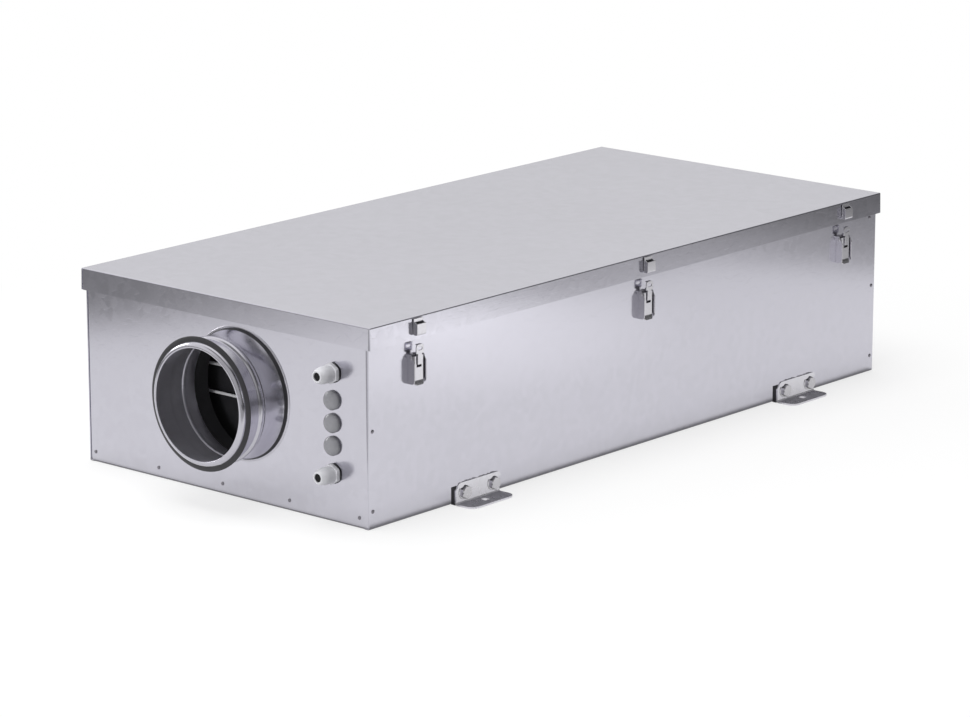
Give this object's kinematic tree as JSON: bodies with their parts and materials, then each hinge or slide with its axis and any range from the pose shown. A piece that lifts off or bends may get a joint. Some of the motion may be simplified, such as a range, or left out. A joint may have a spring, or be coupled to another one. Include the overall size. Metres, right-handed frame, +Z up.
{
  "type": "air handling unit",
  "caption": "Flat rectangular supply air handling unit in galvanised sheet with round duct spigots, lift-off lid, toggle latches and foot brackets.",
  "frame": {"origin": "centre of the underside, on the floor", "axes": "+Z up, +Y along the case from the front spigot to the back one, +X to the side with the latches that work"},
  "size_m": [0.575, 1.221, 0.26],
  "materials": {
    "galvanised_sheet": "satin",
    "zinc_plated_steel": "satin",
    "black_rubber": "matte",
    "light_grey_plastic": "satin",
    "mid_grey_plastic": "satin",
    "dark_lining": "matte"
  },
  "bodies": {
    "casing": {"back_end_panel": "galvanised_sheet", "back_left_foot_bracket": "galvanised_sheet", "back_left_foot_pad": "black_rubber", "back_lining": "dark_lining", "back_right_foot_bracket": "galvanised_sheet", "back_right_foot_pad": "black_rubber", "back_spigot": "galvanised_sheet", "back_spigot_gasket": "black_rubber", "blanking_plugs": "mid_grey_plastic", "cable_glands": "light_grey_plastic", "filter_bars": "galvanised_sheet", "filter_frame": "galvanised_sheet", "filter_medium": "dark_lining", "floor_lining": "dark_lining", "floor_panel": "galvanised_sheet", "foot_bolts": "zinc_plated_steel", "front_end_panel": "galvanised_sheet", "front_left_foot_bracket": "galvanised_sheet", "front_left_foot_pad": "black_rubber", "front_lining": "dark_lining", "front_right_foot_bracket": "galvanised_sheet", "front_right_foot_pad": "black_rubber", "front_spigot": "galvanised_sheet", "front_spigot_gasket": "black_rubber", "gland_washers": "black_rubber", "left_latch_cheeks": "zinc_plated_steel", "left_latch_hooks": "zinc_plated_steel", "left_latch_levers": "zinc_plated_steel", "left_latch_plates": "zinc_plated_steel", "left_lining": "dark_lining", "left_side_panel": "galvanised_sheet", "right_latch_cheeks": "zinc_plated_steel", "right_latch_plates": "zinc_plated_steel", "right_lining": "dark_lining", "right_side_panel": "galvanised_sheet"},
    "front_latch_lever": {"front_latch_lever": "zinc_plated_steel"},
    "front_latch_hook": {"front_latch_hook": "zinc_plated_steel"},
    "middle_latch_lever": {"middle_latch_lever": "zinc_plated_steel"},
    "middle_latch_hook": {"middle_latch_hook": "zinc_plated_steel"},
    "rear_latch_lever": {"rear_latch_lever": "zinc_plated_steel"},
    "rear_latch_hook": {"rear_latch_hook": "zinc_plated_steel"},
    "lid": {"lid_panel": "galvanised_sheet", "lid_insulation": "dark_lining", "right_keepers": "zinc_plated_steel", "left_keepers": "zinc_plated_steel"}
  },
  "joints": [
    {"name": "lid_lift", "type": "slide", "parent": "casing", "child": "lid", "axis": [0, 0, 1], "range_m": [0, 0.12]},
    {"name": "front_lever_hinge", "type": "hinge", "parent": "casing", "child": "front_latch_lever", "pos_m": [0.2545, -0.4485, 0.208], "axis": [0, -1, 0], "range_deg": [0, 80]},
    {"name": "front_hook_hinge", "type": "hinge", "parent": "front_latch_lever", "child": "front_latch_hook", "pos_m": [0.2555, -0.4485, 0.202], "axis": [0, -1, 0], "range_deg": [-104, 0]},
    {"name": "middle_lever_hinge", "type": "hinge", "parent": "casing", "child": "middle_latch_lever", "pos_m": [0.2545, 0.008, 0.208], "axis": [0, -1, 0], "range_deg": [0, 80]},
    {"name": "middle_hook_hinge", "type": "hinge", "parent": "middle_latch_lever", "child": "middle_latch_hook", "pos_m": [0.2555, 0.008, 0.202], "axis": [0, -1, 0], "range_deg": [-104, 0]},
    {"name": "rear_lever_hinge", "type": "hinge", "parent": "casing", "child": "rear_latch_lever", "pos_m": [0.2545, 0.4505, 0.208], "axis": [0, -1, 0], "range_deg": [0, 80]},
    {"name": "rear_hook_hinge", "type": "hinge", "parent": "rear_latch_lever", "child": "rear_latch_hook", "pos_m": [0.2555, 0.4505, 0.202], "axis": [0, -1, 0], "range_deg": [-104, 0]}
  ],
  "couplings": [
    {"joint": "front_hook_hinge", "follows": "front_lever_hinge", "ratio": -1.3},
    {"joint": "middle_hook_hinge", "follows": "middle_lever_hinge", "ratio": -1.3},
    {"joint": "rear_hook_hinge", "follows": "rear_lever_hinge", "ratio": -1.3}
  ]
}
